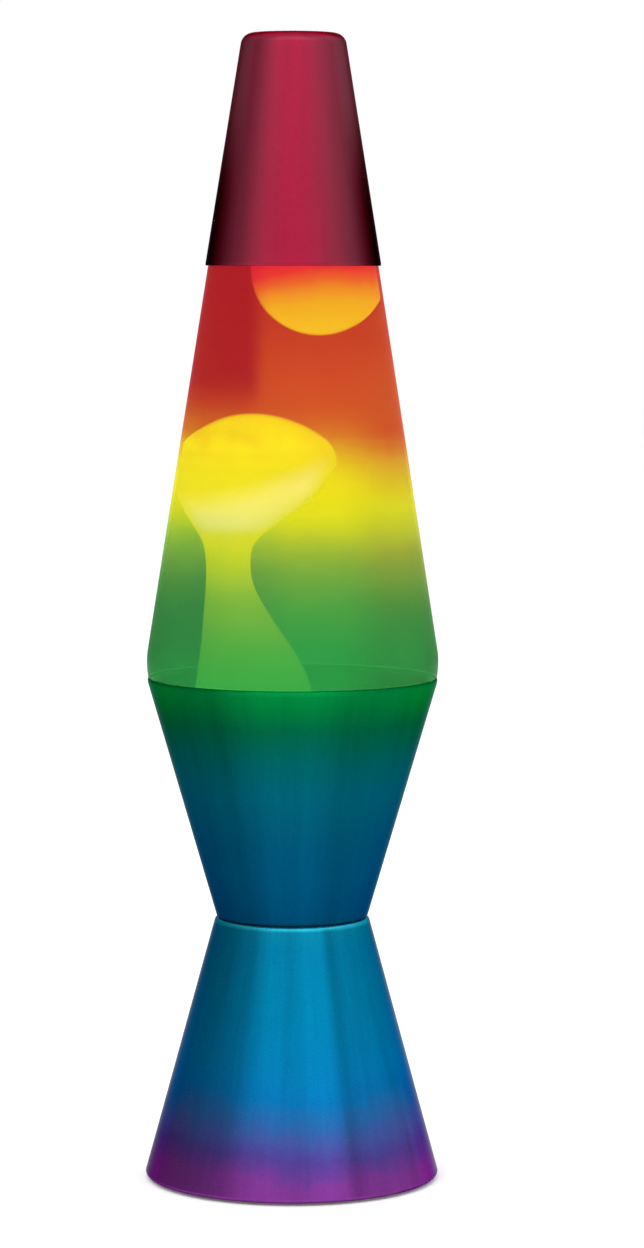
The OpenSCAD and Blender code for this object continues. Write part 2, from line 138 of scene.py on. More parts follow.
def lathe(name, profile, seg=192, angle=40, wobble=None):
    """A closed solid of revolution from a closed (r, z) profile in mm, counter-clockwise."""
    area = sum(p[0] * q[1] - q[0] * p[1] for p, q in zip(profile, profile[1:] + profile[:1]))
    if area < 0:
        profile = profile[::-1]
    verts, rows = [], []
    for r, z in profile:
        if r < 1e-5:
            rows.append([len(verts)] * seg)
            verts.append((0, 0, z * MM))
        else:
            rows.append(list(range(len(verts), len(verts) + seg)))
            for k in range(seg):
                a = 2 * math.pi * k / seg
                rr = r + (wobble(r, a, z) if wobble else 0)
                verts.append((rr * math.cos(a) * MM, rr * math.sin(a) * MM, z * MM))
    faces = []
    m = len(rows)
    for i in range(m):
        lo, hi = rows[i], rows[(i + 1) % m]
        if lo[0] == lo[1] and hi[0] == hi[1]:
            continue
        for k in range(seg):
            j = (k + 1) % seg
            f = [lo[k], lo[j], hi[j], hi[k]]
            f = [v for n, v in enumerate(f) if v not in f[:n]]
            if len(f) > 2:
                faces.append(f)
    return mesh_object(name, verts, faces, angle)


# ---------------------------------------------------------------- node helpers
class Tree:
    def __init__(self, name):
        self.mat = bpy.data.materials.new(name)
        self.mat.use_nodes = True
        self.nt = self.mat.node_tree
        self.nt.nodes.clear()
        self.out = self.nt.nodes.new("ShaderNodeOutputMaterial")

    def node(self, kind, **values):
        n = self.nt.nodes.new(kind)
        for k, v in values.items():
            setattr(n, k, v)
        return n

    def link(self, a, b):
        self.nt.links.new(a, b)

    def put(self, socket, value):
        if isinstance(value, bpy.types.NodeSocket):
            self.link(value, socket)
        elif isinstance(value, (tuple, list)) and len(value) == 3 and socket.type == "RGBA":
            socket.default_value = (*value, 1)
        else:
            socket.default_value = value

    def math(self, op, a, b=None, c=None, clamp=False):
        n = self.node("ShaderNodeMath", operation=op, use_clamp=clamp)
        for s, v in zip(n.inputs, (a, b, c)):
            if v is not None:
                self.put(s, v)
        return n.outputs[0]

    def xyz(self):
        tc = self.node("ShaderNodeTexCoord")
        sp = self.node("ShaderNodeSeparateXYZ")
        self.link(tc.outputs["Object"], sp.inputs[0])
        return tc.outputs["Object"], sp.outputs[0], sp.outputs[1], sp.outputs[2]

    def vec(self, x=0.0, y=0.0, z=0.0):
        n = self.node("ShaderNodeCombineXYZ")
        for s, v in zip(n.inputs, (x, y, z)):
            self.put(s, v)
        return n.outputs[0]

    def noise(self, vector, scale, detail=2.0, rough=0.5, distortion=0.0):
        n = self.node("ShaderNodeTexNoise")
        self.link(vector, n.inputs["Vector"])
        n.inputs["Scale"].default_value = scale
        n.inputs["Detail"].default_value = detail
        n.inputs["Roughness"].default_value = rough
        n.inputs["Distortion"].default_value = distortion
        return n.outputs["Fac"]

    def map(self, value, a, b, c, d, smooth=False):
        n = self.node("ShaderNodeMapRange", clamp=True, interpolation_type="SMOOTHSTEP" if smooth else "LINEAR")
        self.put(n.inputs[0], value)
        for s, v in zip(n.inputs[1:5], (a, b, c, d)):
            self.put(s, v)
        return n.outputs[0]

    def ramp(self, value, stops, z0, z1, interp="EASE"):
        """Colour by height in mm: value is the height, stops are (mm, linear colour), at most 32."""
        t = self.map(value, z0 * MM, z1 * MM, 0.0, 1.0)
        n = self.node("ShaderNodeValToRGB")
        n.color_ramp.interpolation = interp
        els = n.color_ramp.elements
        while len(els) < len(stops):
            els.new(0.5)
        for e, (z, c) in zip(els, stops):
            e.position = (z - z0) / (z1 - z0)
            e.color = (*c, 1)
        self.link(t, n.inputs[0])
        return n.outputs[0]

    def mix(self, fac, a, b, blend="MIX"):
        n = self.node("ShaderNodeMix", data_type="RGBA", blend_type=blend)
        self.put(n.inputs[0], fac)
        self.put(n.inputs[6], a)
        self.put(n.inputs[7], b)
        return n.outputs[2]

    def bump(self, height, strength, distance, normal=None):
        n = self.node("ShaderNodeBump")
        self.put(n.inputs["Strength"], strength)
        self.put(n.inputs["Distance"], distance)
        self.link(height, n.inputs["Height"])
        if normal is not None:
            self.link(normal, n.inputs["Normal"])
        return n.outputs[0]

    def facing(self, blend=0.5):
        n = self.node("ShaderNodeLayerWeight")
        n.inputs["Blend"].default_value = blend
        return n.outputs["Facing"]

    def fresnel(self, ior):
        n = self.node("ShaderNodeFresnel")
        n.inputs["IOR"].default_value = ior
        return n.outputs[0]

    def principled(self, **values):
        n = self.node("ShaderNodeBsdfPrincipled")
        for k, v in values.items():
            self.put(n.inputs[k.replace("_", " ")], v)
        return n

    def surface(self, socket):
        self.link(socket, self.out.inputs["Surface"])
        return self.mat


def around(t, x, y):
    """Angle about the lamp's axis as a smooth pair of coordinates: the unit vector (cos, sin)."""
    r = t.math("MAXIMUM", t.math("SQRT", t.math("ADD", t.math("MULTIPLY", x, x), t.math("MULTIPLY", y, y))), 1e-5)
    return t.math("DIVIDE", x, r), t.math("DIVIDE", y, r), r


# ---------------------------------------------------------------- materials
def fade_paint(name, stops, z0, z1, shade, tint_edge, rough=0.34, mottle=0.0016, streak=0.10, painted_top_light=None, painted_sheen=(), painted_side_light=0.0, painted_top_tone=None, calm=None, dip=0.0):
    """Satin metallic paint with a colour fade by height over finely spun metal, with painted shade, light and sheen by
    how edge-on it is seen.
    """
    t = Tree(name)
    obj, x, y, z = t.xyz()
    c, s, r = around(t, x, y)
    # the airbrushed fade wanders a little
    drift = t.math("MULTIPLY", t.math("SUBTRACT", t.noise(obj, 38.0, 4.0, 0.6), 0.5), mottle * 4)
    fine = t.math("MULTIPLY", t.math("SUBTRACT", t.noise(obj, 420.0, 2.0, 0.6), 0.5), mottle)
    wander = t.math("ADD", drift, fine)
    if calm:
        wander = t.math("MULTIPLY", wander, t.map(z, calm[0] * MM, calm[1] * MM, 1.0, 0.0, True))
    zz = t.math("ADD", z, wander)
    if dip:
        # the fade reaches lower along the middle and a little to one side of it
        away = t.math("ABSOLUTE", t.math("SUBTRACT", x, 0.006))
        low = t.map(z, 0.030, 0.055, 1.0, 0.0, True)
        zz = t.math("ADD", zz, t.math("MULTIPLY", t.map(away, 0.008, 0.034, dip, -0.35 * dip, True), low))
    col = t.ramp(zz, stops, z0, z1, "LINEAR")
    # painted sheen: long faint lighter and darker streaks down the cone, in place of the streaked reflection of the
    # spun metal
    st = t.noise(t.vec(c, s, t.math("MULTIPLY", z, 1.6)), 5.5, 3.0, 0.6)
    st2 = t.noise(t.vec(c, s, t.math("MULTIPLY", z, 4.0)), 26.0, 2.0, 0.5)
    gain = t.math("ADD", t.map(st, 0.3, 0.7, 1.0 - streak, 1.0 + streak), t.map(st2, 0.3, 0.7, -streak * 0.3, streak * 0.3))
    # flake
    fl = t.noise(obj, 2600.0, 1.0, 0.5)
    gain = t.math("MULTIPLY", gain, t.map(fl, 0.35, 0.7, 0.93, 1.07))
    # painted light: one side of the part is painted brighter than the other
    gain = t.math("MULTIPLY", gain, t.math("SUBTRACT", 1.0, t.math("MULTIPLY", c, painted_side_light)))
    # painted shade: the colour turns darker where it is seen edge on (on the cup and foot lighter again at the
    # outline), in place of what the metal would reflect
    f = t.facing(0.5)
    peak = max(g for _, g in shade)
    gain = t.math("MULTIPLY", gain, peak)
    shade = [(q, g / peak) for q, g in shade]
    n = t.node("ShaderNodeValToRGB")
    n.color_ramp.interpolation = "LINEAR"
    els = n.color_ramp.elements
    while len(els) < len(shade):
        els.new(0.5)
    for e, (p, g) in zip(els, shade):
        e.position = p
        e.color = (g, g, g, 1)
    t.link(f, n.inputs[0])
    edge = n.outputs[0]
    # painted light: the edge shade eases towards white up a band of height, brighter towards the top
    if painted_top_light:
        edge = t.mix(t.map(z, painted_top_light[0] * MM, painted_top_light[1] * MM, 0.0, painted_top_light[2], True), edge, (1.0, 1.0, 1.0))
    face_up = None
    if painted_top_tone:
        # painted light: faces that look up get one even tone in place of the edge shade, as if the level top were lit
        # evenly
        tc = t.node("ShaderNodeTexCoord")
        sp = t.node("ShaderNodeSeparateXYZ")
        t.link(tc.outputs["Normal"], sp.inputs[0])
        face_up = t.map(sp.outputs[2], 0.35, 0.80, 0.0, 1.0, True)
        tone = painted_top_tone / peak
        edge = t.mix(face_up, edge, (tone, tone, tone))
    col = t.mix(1.0, t.mix(1.0, col, t.vec(gain, gain, gain), "MULTIPLY"), edge, "MULTIPLY")
    # painted sheen: a pale colour added by how edge-on the paint is seen, and by height where it has one, in place of a
    # reflection
    for tone, steps, band in painted_sheen:
        w = t.node("ShaderNodeValToRGB")
        els = w.color_ramp.elements
        while len(els) < len(steps):
            els.new(0.5)
        for e, (q, g) in zip(els, steps):
            e.position = q
            e.color = (g, g, g, 1)
        t.link(f, w.inputs[0])
        k = w.outputs[0]
        if face_up is not None:
            k = t.mix(face_up, k, (0.0, 0.0, 0.0))
        if band:
            k = t.mix(t.map(z, band[0] * MM, band[1] * MM, 0.0, 1.0, True), (0.0, 0.0, 0.0), k)
        col = t.mix(1.0, col, t.mix(1.0, k, tone, "MULTIPLY"), "ADD")
    # spun marks: fine rings, by height only
    ring = t.noise(t.vec(t.math("MULTIPLY", c, 0.02), t.math("MULTIPLY", s, 0.02), z), 2400.0, 2.0, 0.7)
    grit = t.noise(obj, 1500.0, 2.0, 0.6)
    h = t.math("ADD", t.math("MULTIPLY", ring, 0.7), t.math("MULTIPLY", grit, 0.3))
    nrm = t.bump(h, 0.10, 0.0002)
    ro = t.map(t.math("ADD", t.math("MULTIPLY", ring, 0.5), t.math("MULTIPLY", st, 0.5)), 0.3, 0.7, rough - 0.04, rough + 0.05)
    p = t.principled(Base_Color=col, Roughness=ro, Normal=nrm)
    p.inputs["Metallic"].default_value = 1.0
    p.inputs["Specular Tint"].default_value = (*tint_edge, 1)
    return t.surface(p.outputs[0])


def plain(name, colour, rough, metallic, scale, amount, bump=0.08, lines=None, coat=0.0, emit=None, emit_gain=0.0):
    """Bare metal, plastic, rubber or ceramic: broken-up colour, roughness and a fine bump."""
    t = Tree(name)
    obj, x, y, z = t.xyz()
    a = t.noise(obj, scale, 4.0, 0.6)
    b = t.noise(obj, scale * 6, 3.0, 0.6)
    v = t.math("ADD", t.math("MULTIPLY", a, 0.65), t.math("MULTIPLY", b, 0.35))
    col = t.mix(t.map(v, 0.3, 0.7, 0.0, 1.0), tuple(k * (1 - amount) for k in colour), tuple(min(1, k * (1 + amount)) for k in colour))
    ro = t.map(a, 0.3, 0.7, max(0.02, rough - 0.08), rough + 0.08)
    h = b
    if lines:
        h = t.math("ADD", t.math("MULTIPLY", b, 0.3), t.noise(t.vec(t.math("MULTIPLY", x, lines[0]), t.math("MULTIPLY", y, lines[1]), t.math("MULTIPLY", z, lines[2])), 900.0, 2.0, 0.6))
    p = t.principled(Base_Color=col, Metallic=metallic, Roughness=ro, Normal=t.bump(h, bump, 0.0003))
    p.inputs["Coat Weight"].default_value = coat
    if emit:
        t.put(p.inputs["Emission Color"], emit)
        p.inputs["Emission Strength"].default_value = emit_gain
    return t.surface(p.outputs[0])


# Colours by height (mm), as seen: LIQ is what the clear part of the globe shows, with painted shade, darker towards the
# outline, in its side columns; WAX and BLOB what the wax shows, its painted glow included.
LEVELS = (158, 163.3, 168.1, 174.5, 181, 187.4, 190.6, 193.9, 197.1, 200.3, 203.5, 206.7, 209.9, 213.1, 217.9, 222.7, 227.6, 232.4, 237.2, 242,
          246.7, 251.5, 257.9, 264.3, 270.7, 277, 284, 300)
LEFT = "26803E 2C8E45 2E8742 308440 328240 3A8541 42893F 4C8D3F 589342 659C41 73A740 81B23D 97BD3B B4CB30 D4D624 E6DE1C EAE01C E8D420 E2B024 CE7228 CA5C28 CA4C28 C84829 C64228 C43C28 C23828 C03226 BC2826"
MIDDLE = "268C42 2E994A 2F9947 359A45 479E46 56A143 63A542 73A741 7DAA40 8BB03D A1BA38 B4C634 C5CE2D DEDC22 E7E01F EEE01B F0DC20 E8C022 E09E2A DB782A D7602A D4542A D34E2A CF4829 CC4329 C63C28 C43628 BE2A26"
RIGHT = "277A3A 2F8741 328943 348D42 3F8B41 538F40 62943C 709A41 829D3B 8CA33F A0AA38 B0B936 BCC633 CACB2C DCD824 DFCC23 DCB829 DD9F2E D5722B D2542A D15629 D15529 D0522A D04C2A C94327 C84429 C23A28 BE2A26"
LIQ = [[(k, lin(h)) for k, h in zip(LEVELS, side.split())] for side in (LEFT, MIDDLE, RIGHT)]
WAX = [(120, lin("30A648")), (157, lin("3CAE48")), (166, lin("4AB547")), (175, lin("5DB546")), (187, lin("84BE41")), (194, lin("A6CC3A")),
       (200, lin("C5D82D")), (205, lin("DADF2A")), (210, lin("E8E63A")), (216, lin("F6EA3C")), (222, lin("F8E82A")), (229, lin("F8E622")), (236, lin("FCE322")),
       (242, lin("FEE022")), (248, lin("FEDE22"))]
BLOB = [(268, lin("FDC828")), (276, lin("FDC025")), (283, lin("FCB223")), (287, lin("F99A28")), (290.5, lin("F66C2D")), (293.5, lin("F43A36")), (298, lin("F0283C")), (318, lin("E8243C"))]
A_GLASS = 0.10          # how much of the globe's outside is opaque colour
GAIN = 0.98


def tint(z, side=1):
    """Colour of one pass through the globe's wall, on the left, in the middle or on the right."""
    L = sample(LIQ[side], z)
    return tuple(max(0.02, min(1.0, math.sqrt(max(0.0, c * 0.93)) * 1.0)) for c in L)


def wax_source(target, z, side=1):
    """What the wax must give off to show the target colour through one wall."""
    T, L = tint(z, side), sample(LIQ[side], z)
    return tuple(max(0.0, (c - A_GLASS * l * 0.9) / ((1 - A_GLASS) * tt)) for c, l, tt in zip(target, L, T))


def sides(t, x, colours):
    """Left, middle and right colours, mixed by where they stand across the globe."""
    return t.mix(t.map(x, 0.013, 0.033, 0.0, 1.0, True), t.mix(t.map(x, -0.031, 0.004, 0.0, 1.0, True), colours[0], colours[1]), colours[2])


def globe_material():
    t = Tree("globe_glass_fade_painted_glow")
    obj, x, y, z = t.xyz()
    big = t.math("MULTIPLY", t.math("SUBTRACT", t.noise(obj, 16.0, 2.0, 0.5), 0.5), 0.007)
    small = t.math("MULTIPLY", t.math("SUBTRACT", t.noise(obj, 70.0, 3.0, 0.6), 0.5), 0.005)
    zz = t.math("ADD", z, t.math("ADD", big, small))
    # the red comes lower on one side than on the other, and the green higher; the side colours also carry painted
    # shade, darker towards the outline lower down
    tin = sides(t, x, [t.ramp(zz, [(k, tint(k, i)) for k in LEVELS], 150, 300, "LINEAR") for i in range(3)])
    sol = sides(t, x, [t.ramp(zz, LIQ[i], 150, 300, "LINEAR") for i in range(3)])
    # a darker crimson stretch down one side of the top
    up = t.map(z, 0.244, 0.261, 0.0, 1.0, True)
    left = t.map(t.math("ADD", x, t.math("MULTIPLY", small, 0.6)), -0.0150, -0.0075, 1.0, 0.0, True)
    k = t.math("MULTIPLY", t.math("MULTIPLY", up, left), 0.85)
    tin = t.mix(k, tin, tuple(math.sqrt(c) for c in lin("A81B26")))
    sol = t.mix(k, sol, lin("A81B26"))
    # painted shade: the lower shoulder is darker towards its outline
    f = t.facing(0.5)
    low = t.map(z, 0.160, 0.205, 1.0, 0.0, True)
    d = t.math("SUBTRACT", 1.0, t.math("MULTIPLY", t.math("MULTIPLY", low, t.map(f, 0.35, 0.98, 0.0, 1.0, True)), 0.22))
    tin = t.mix(1.0, tin, t.vec(d, d, d), "MULTIPLY")
    sol = t.mix(1.0, sol, t.vec(d, d, d), "MULTIPLY")
    # the part that stands inside the cup carries less colour, to let the bulb's light in
    d = t.map(z, 0.1618, 0.1622, 1.41, 1.0, True)
    tin = t.mix(1.0, tin, t.vec(d, d, d), "MULTIPLY")
    clear = t.node("ShaderNodeBsdfTransparent")
    t.link(tin, clear.inputs[0])
    # painted glow: the glass gives off its own fade colour, in place of the bulb's light scattered in the globe
    body = t.principled(Base_Color=sol, Roughness=0.14)
    t.link(sol, body.inputs["Emission Color"])
    body.inputs["Emission Strength"].default_value = 0.5
    body.inputs["IOR"].default_value = 1.25
    fac = t.map(t.math("POWER", f, 5.0), 0.0, 1.0, A_GLASS, 0.30)
    m = t.node("ShaderNodeMixShader")
    t.link(fac, m.inputs[0])
    t.link(clear.outputs[0], m.inputs[1])
    t.link(body.outputs[0], m.inputs[2])
    return t.surface(m.outputs[0])


def clear_material(name, colour, base, edge, rough=0.05, ior=1.45):
    """Clear glass or liquid seen without bending: gloss at the edges, a hint of colour."""
    t = Tree(name)
    obj, x, y, z = t.xyz()
    clear = t.node("ShaderNodeBsdfTransparent")
    v = t.noise(obj, 60.0, 3.0, 0.6)
    t.link(t.mix(t.map(v, 0.3, 0.7, 0.0, 1.0), colour, tuple(min(1.0, c * 1.015) for c in colour)), clear.inputs[0])
    body = t.principled(Base_Color=tuple(c * 0.9 for c in colour), Roughness=rough, Normal=t.bump(t.noise(obj, 90.0, 2.0, 0.5), 0.04, 0.0004))
    body.inputs["IOR"].default_value = ior
    fac = t.map(t.math("POWER", t.facing(0.5), 3.0), 0.0, 1.0, base, edge)
    m = t.node("ShaderNodeMixShader")
    t.link(fac, m.inputs[0])
    t.link(clear.outputs[0], m.inputs[1])
    t.link(body.outputs[0], m.inputs[2])
    return t.surface(m.outputs[0])


def wax_material(name, stops, z0, z1, gains, slant=0.0, pale=None, edge_gain=0.85, soft=0.6, wall=None):
    """Wax with the bulb's light inside it painted on as a glow. gains are (height, red, green, blue) factors on what it
    gives off.
    """
    t = Tree(name)
    obj, x, y, z = t.xyz()
    wander = t.math("MULTIPLY", t.math("SUBTRACT", t.noise(obj, 45.0, 3.0, 0.5), 0.5), 0.005)
    zz = t.math("ADD", z, wander)
    if slant:
        zz = t.math("ADD", zz, t.math("MULTIPLY", t.math("MAXIMUM", t.math("SUBTRACT", 0.0083, x), 0.0), slant))
    steps = [z0 + (z1 - z0) * i / 28 for i in range(29)]

    def lit(k, i):
        factor = sample([(g[0], g[1:]) for g in gains], k)
        return tuple(c * g for c, g in zip(wax_source(sample(stops, k), k + 1.0, i), factor))

    cols = [[(k, lit(k, i)) for k in steps] for i in range(3)]
    top = max(max(c) for col in cols for _, c in col)
    col = sides(t, x, [t.ramp(zz, [(k, tuple(v / top for v in c)) for k, c in row], z0, z1, "LINEAR") for row in cols])
    if pale:
        # painted light: the underside of the head is painted paler, as lit from below
        colour, low_edge, rise, curl, low0, low1 = pale
        run = t.math("MAXIMUM", t.math("ADD", x, 0.030), 0.0)
        edge = t.math("ADD", t.math("MULTIPLY", t.math("ADD", t.math("MULTIPLY", run, curl), rise), run), low_edge * MM)
        under = t.map(t.math("SUBTRACT", t.math("ADD", z, t.math("MULTIPLY", wander, 0.8)), edge), -0.0075, 0.0020, 1.0, 0.0, True)
        k = t.math("MULTIPLY", t.math("MULTIPLY", under, t.map(z, low0 * MM, low1 * MM, 0.0, 1.0, True)), 0.9)
        # and less so towards the outline
        k = t.math("MULTIPLY", k, t.map(t.facing(0.5), 0.36, 0.84, 1.0, 0.15, True))
        k = t.math("MULTIPLY", k, t.map(x, 0.003, 0.013, 1.0, 0.15, True))
        col = t.mix(k, col, sides(t, x, [tuple(v / top for v in wax_source(lin(colour), 219, i)) for i in range(3)]))
    # painted shade: the glow is dimmer towards its edges, where the light inside falls off, and the outline blurs
    f = t.facing(0.5)
    g = t.map(t.math("POWER", f, 2.2), 0.0, 1.0, 1.0, edge_gain)
    g = t.math("MULTIPLY", g, t.map(t.noise(obj, 30.0, 2.0, 0.5), 0.25, 0.75, 0.97, 1.03))
    em = t.mix(1.0, col, t.vec(g, g, g), "MULTIPLY")
    p = t.principled(Base_Color=t.mix(1.0, col, (0.12, 0.12, 0.12), "MULTIPLY"), Roughness=0.5,
                     Normal=t.bump(t.noise(obj, 120.0, 2.0, 0.5), 0.05, 0.0006))
    # painted glow: the wax gives off its colour as light
    t.link(em, p.inputs["Emission Color"])
    p.inputs["Emission Strength"].default_value = 0.84 * top
    clear = t.node("ShaderNodeBsdfTransparent")
    m = t.node("ShaderNodeMixShader")
    blur = t.map(f, soft, 1.0, 0.0, 1.0, True)
    if wall:
        # no blur where the wax lies against the bottle's wall
        blur = t.math("MULTIPLY", blur, t.map(x, wall[0], wall[1], 0.0, 1.0, True))
    t.link(blur, m.inputs[0])
    t.link(p.outputs[0], m.inputs[1])
    t.link(clear.outputs[0], m.inputs[2])
    return t.surface(m.outputs[0])


def lit_inside(name):
    """Bare spun metal inside the cup with the bulb's light on it painted as a glow: bright under the globe, warmer and
    dimmer lower down.
    """
    t = Tree(name)
    obj, x, y, z = t.xyz()
    rings = t.noise(t.vec(t.math("MULTIPLY", x, 0.02), t.math("MULTIPLY", y, 0.02), z), 1500.0, 2.0, 0.6)
    broad = t.noise(obj, 60.0, 3.0, 0.6)
    glow = t.ramp(z, [(84, (0.26, 0.19, 0.11)), (100, (0.40, 0.33, 0.225)), (125, (0.54, 0.485, 0.38)), (145, (0.66, 0.625, 0.55)), (153.5, (0.69, 0.68, 0.66)), (163, (0.70, 0.70, 0.69))], 84, 163, "LINEAR")
    w = t.math("MULTIPLY", t.map(rings, 0.3, 0.7, 0.95, 1.04), t.map(broad, 0.3, 0.7, 0.96, 1.03))
    col = t.mix(t.map(rings, 0.3, 0.7, 0.0, 1.0), (0.20, 0.20, 0.205), (0.27, 0.27, 0.275))
    p = t.principled(Base_Color=col, Metallic=0.5, Roughness=t.map(rings, 0.3, 0.7, 0.36, 0.50), Normal=t.bump(rings, 0.10, 0.0003))
    # painted light: the bulb's light on the metal is given off as a glow
    t.link(t.mix(1.0, glow, t.vec(w, w, w), "MULTIPLY"), p.inputs["Emission Color"])
    p.inputs["Emission Strength"].default_value = 1.08
    return t.surface(p.outputs[0])


CUP = [(80, lin("014A70")), (91, lin("01527C")), (101, lin("01587F")), (111, lin("025A7D")), (127, lin("02657B")), (134, lin("026670")), (140, lin("026764")),
       (145, lin("026854")), (150, lin("026B46")), (155, lin("027A3E")), (159, lin("03863F")), (162.5, lin("048C42"))]
# The foot's top stops, from 84 mm up, paint a bright highlight along its rounded shoulder under the waist.
FOOTC = [(0, lin("883896")), (7.5, lin("823A97")), (11, lin("6C3E97")), (15, lin("554398")), (18, lin("4C4EA0")), (21, lin("445AA6")), (24, lin("3663AB")),
         (27.3, lin("276CB0")), (33, lin("0B78BA")), (39, lin("077FBA")), (52, lin("0482B4")), (63, lin("0382AE")), (78, lin("0580AB")), (83.3, lin("0A86A8")), (84.0, lin("24B2D0")), (85.1, lin("38CCE2"))]
CAPC = [(292, lin("C8264A")), (330, lin("C42A4C")), (368.5, lin("C62A4E"))]
# Painted shade: how bright each part's paint is by how edge-on it is seen.
SHADE_CAP = [(0.0, 0.78), (0.011, 0.75), (0.032, 0.70), (0.063, 0.685), (0.107, 0.67), (0.165, 0.545), (0.24, 0.385), (0.339, 0.278), (0.473, 0.184), (0.688, 0.043), (1.0, 0.01)]
SHADE_CUP = [(0.0, 1.28), (0.011, 1.16), (0.032, 1.10), (0.063, 0.96), (0.107, 0.85), (0.165, 0.70), (0.24, 0.63), (0.339, 0.645), (0.473, 0.66), (0.688, 0.90), (1.0, 1.0)]
SHADE_FOOT = [(0.0, 0.99), (0.03, 1.05), (0.063, 1.07), (0.107, 0.90), (0.165, 0.91), (0.24, 0.78), (0.339, 0.75), (0.473, 0.755), (0.688, 0.86), (1.0, 0.78)]
# Painted sheen for the cap and foot: a pale colour at their edges, in place of a reflection.
PAINTED_SHEEN_CAP = [((0.022, 0.021, 0.027), [(0.0, 0.0), (0.05, 0.4), (0.13, 1.0), (0.29, 1.0), (0.47, 0.58), (0.69, 0.12), (1.0, 0.0)], None),
            ((0.16, 0.11, 0.13), [(0.0, 0.0), (0.30, 0.0), (0.62, 0.75), (1.0, 1.0)], (312, 352))]
PAINTED_SHEEN_FOOT = [((0.045, 0.012, 0.010), [(0.0, 0.0), (0.30, 0.12), (0.65, 0.9), (1.0, 1.0)], (40, 18))]

# The cap is painted lighter on its left side and towards its top, the foot on its right; both get painted sheen at
# their edges.
m_cap = fade_paint("cap_paint_with_painted_shade", CAPC, 290, 370, SHADE_CAP, (0.25, 0.06, 0.10), rough=0.36, streak=0.05, painted_top_light=(300, 366, 0.30), painted_sheen=PAINTED_SHEEN_CAP, painted_side_light=0.22, painted_top_tone=0.66)
m_cup = fade_paint("cup_paint_with_painted_shade", CUP, 80, 164, SHADE_CUP, (0.20, 0.34, 0.36), rough=0.38, streak=0.08)
m_foot = fade_paint("foot_paint_with_painted_shade", FOOTC, -1, 86, SHADE_FOOT, (0.32, 0.34, 0.42), rough=0.28, mottle=0.0028, streak=0.09, painted_sheen=PAINTED_SHEEN_FOOT, painted_side_light=-0.10, calm=(72, 81), dip=0.0018)
m_bare = plain("bare_aluminium_inside", (0.62, 0.63, 0.64), 0.42, 0.9, 120, 0.10, 0.10, lines=(0.05, 0.05, 2.0))
m_lit = lit_inside("cup_inside_lit")
m_globe = globe_material()
m_inner = clear_material("glass_inner_face", (0.985, 0.99, 0.985), 0.01, 0.10)
m_flange = clear_material("glass_flange_tinted", tuple(min(1.0, 1.30 * c) for c in tint(158)), 0.04, 0.16, 0.14)
m_liquid = clear_material("clear_liquid", (0.985, 0.985, 0.975), 0.008, 0.06, 0.12, 1.34)
m_wax = wax_material("glowing_wax_rising", WAX, 118, 249, [(118, 0.93, 0.94, 0.95), (225, 0.93, 0.94, 0.95), (232, 0.97, 0.95, 1.0), (237, 1.02, 0.98, 1.0), (242, 1.08, 1.15, 0.95)],
                     pale=("FBF07C", 222.0, 0.187, 3.2, 208, 214), wall=(-0.0350, -0.0270))
m_blob = wax_material("glowing_wax_top", BLOB, 268, 316, [(268, 1.0, 1.12, 1.0), (286, 1.0, 1.10, 1.0), (291, 1.0, 1.0, 1.0)], slant=0.20, edge_gain=0.92, wall=(0.0262, 0.0180))
m_zinc = plain("zinc_plated_steel", (0.62, 0.63, 0.65), 0.32, 1.0, 300, 0.12, 0.06)
m_coil = plain("steel_wire", (0.42, 0.43, 0.45), 0.38, 1.0, 500, 0.15, 0.06)
m_brass = plain("stamped_brass", (0.72, 0.52, 0.20), 0.30, 1.0, 260, 0.16, 0.07)
m_phen = plain("moulded_socket_ceramic", (0.86, 0.84, 0.79), 0.32, 0.0, 180, 0.05, 0.06, coat=0.3)
m_plas = plain("black_moulded_plastic", (0.022, 0.022, 0.024), 0.48, 0.0, 420, 0.25, 0.14)
m_rub = plain("black_rubber_soft", (0.030, 0.030, 0.031), 0.72, 0.0, 700, 0.25, 0.20)
m_gold = plain("gold_lacquered_crown", (0.70, 0.54, 0.22), 0.28, 1.0, 220, 0.10, 0.05, coat=0.4)
m_liner = plain("sealing_disc_plastic", (0.80, 0.80, 0.76), 0.5, 0.0, 200, 0.05)
m_bcap = plain("rolled_bulb_cap_metal", (0.70, 0.70, 0.70), 0.27, 1.0, 240, 0.10, 0.05)
m_vit = plain("black_insulator_glass", (0.012, 0.012, 0.015), 0.12, 0.0, 240, 0.3, 0.05, coat=0.6)
m_sold = plain("solder_tip", (0.60, 0.60, 0.62), 0.36, 1.0, 500, 0.18, 0.15)
m_wire = plain("nickel_lead_wire", (0.55, 0.48, 0.38), 0.34, 1.0, 700, 0.12, 0.05)
m_fil = plain("lit_filament", (0.9, 0.6, 0.3), 0.5, 0.6, 900, 0.10, 0.05, emit=(1.0, 0.62, 0.25), emit_gain=6.0)
m_bulb = clear_material("bulb_clear_glass", (0.97, 0.975, 0.97), 0.02, 0.45, 0.04, 1.5)
m_stem = clear_material("bulb_stem_glass", (0.93, 0.95, 0.94), 0.06, 0.5, 0.08, 1.5)


def dress(node, mat):
    me = nodes[node].data
    if not me.materials:
        me.materials.append(mat)
    for i in range(len(me.materials)):
        me.materials[i] = mat


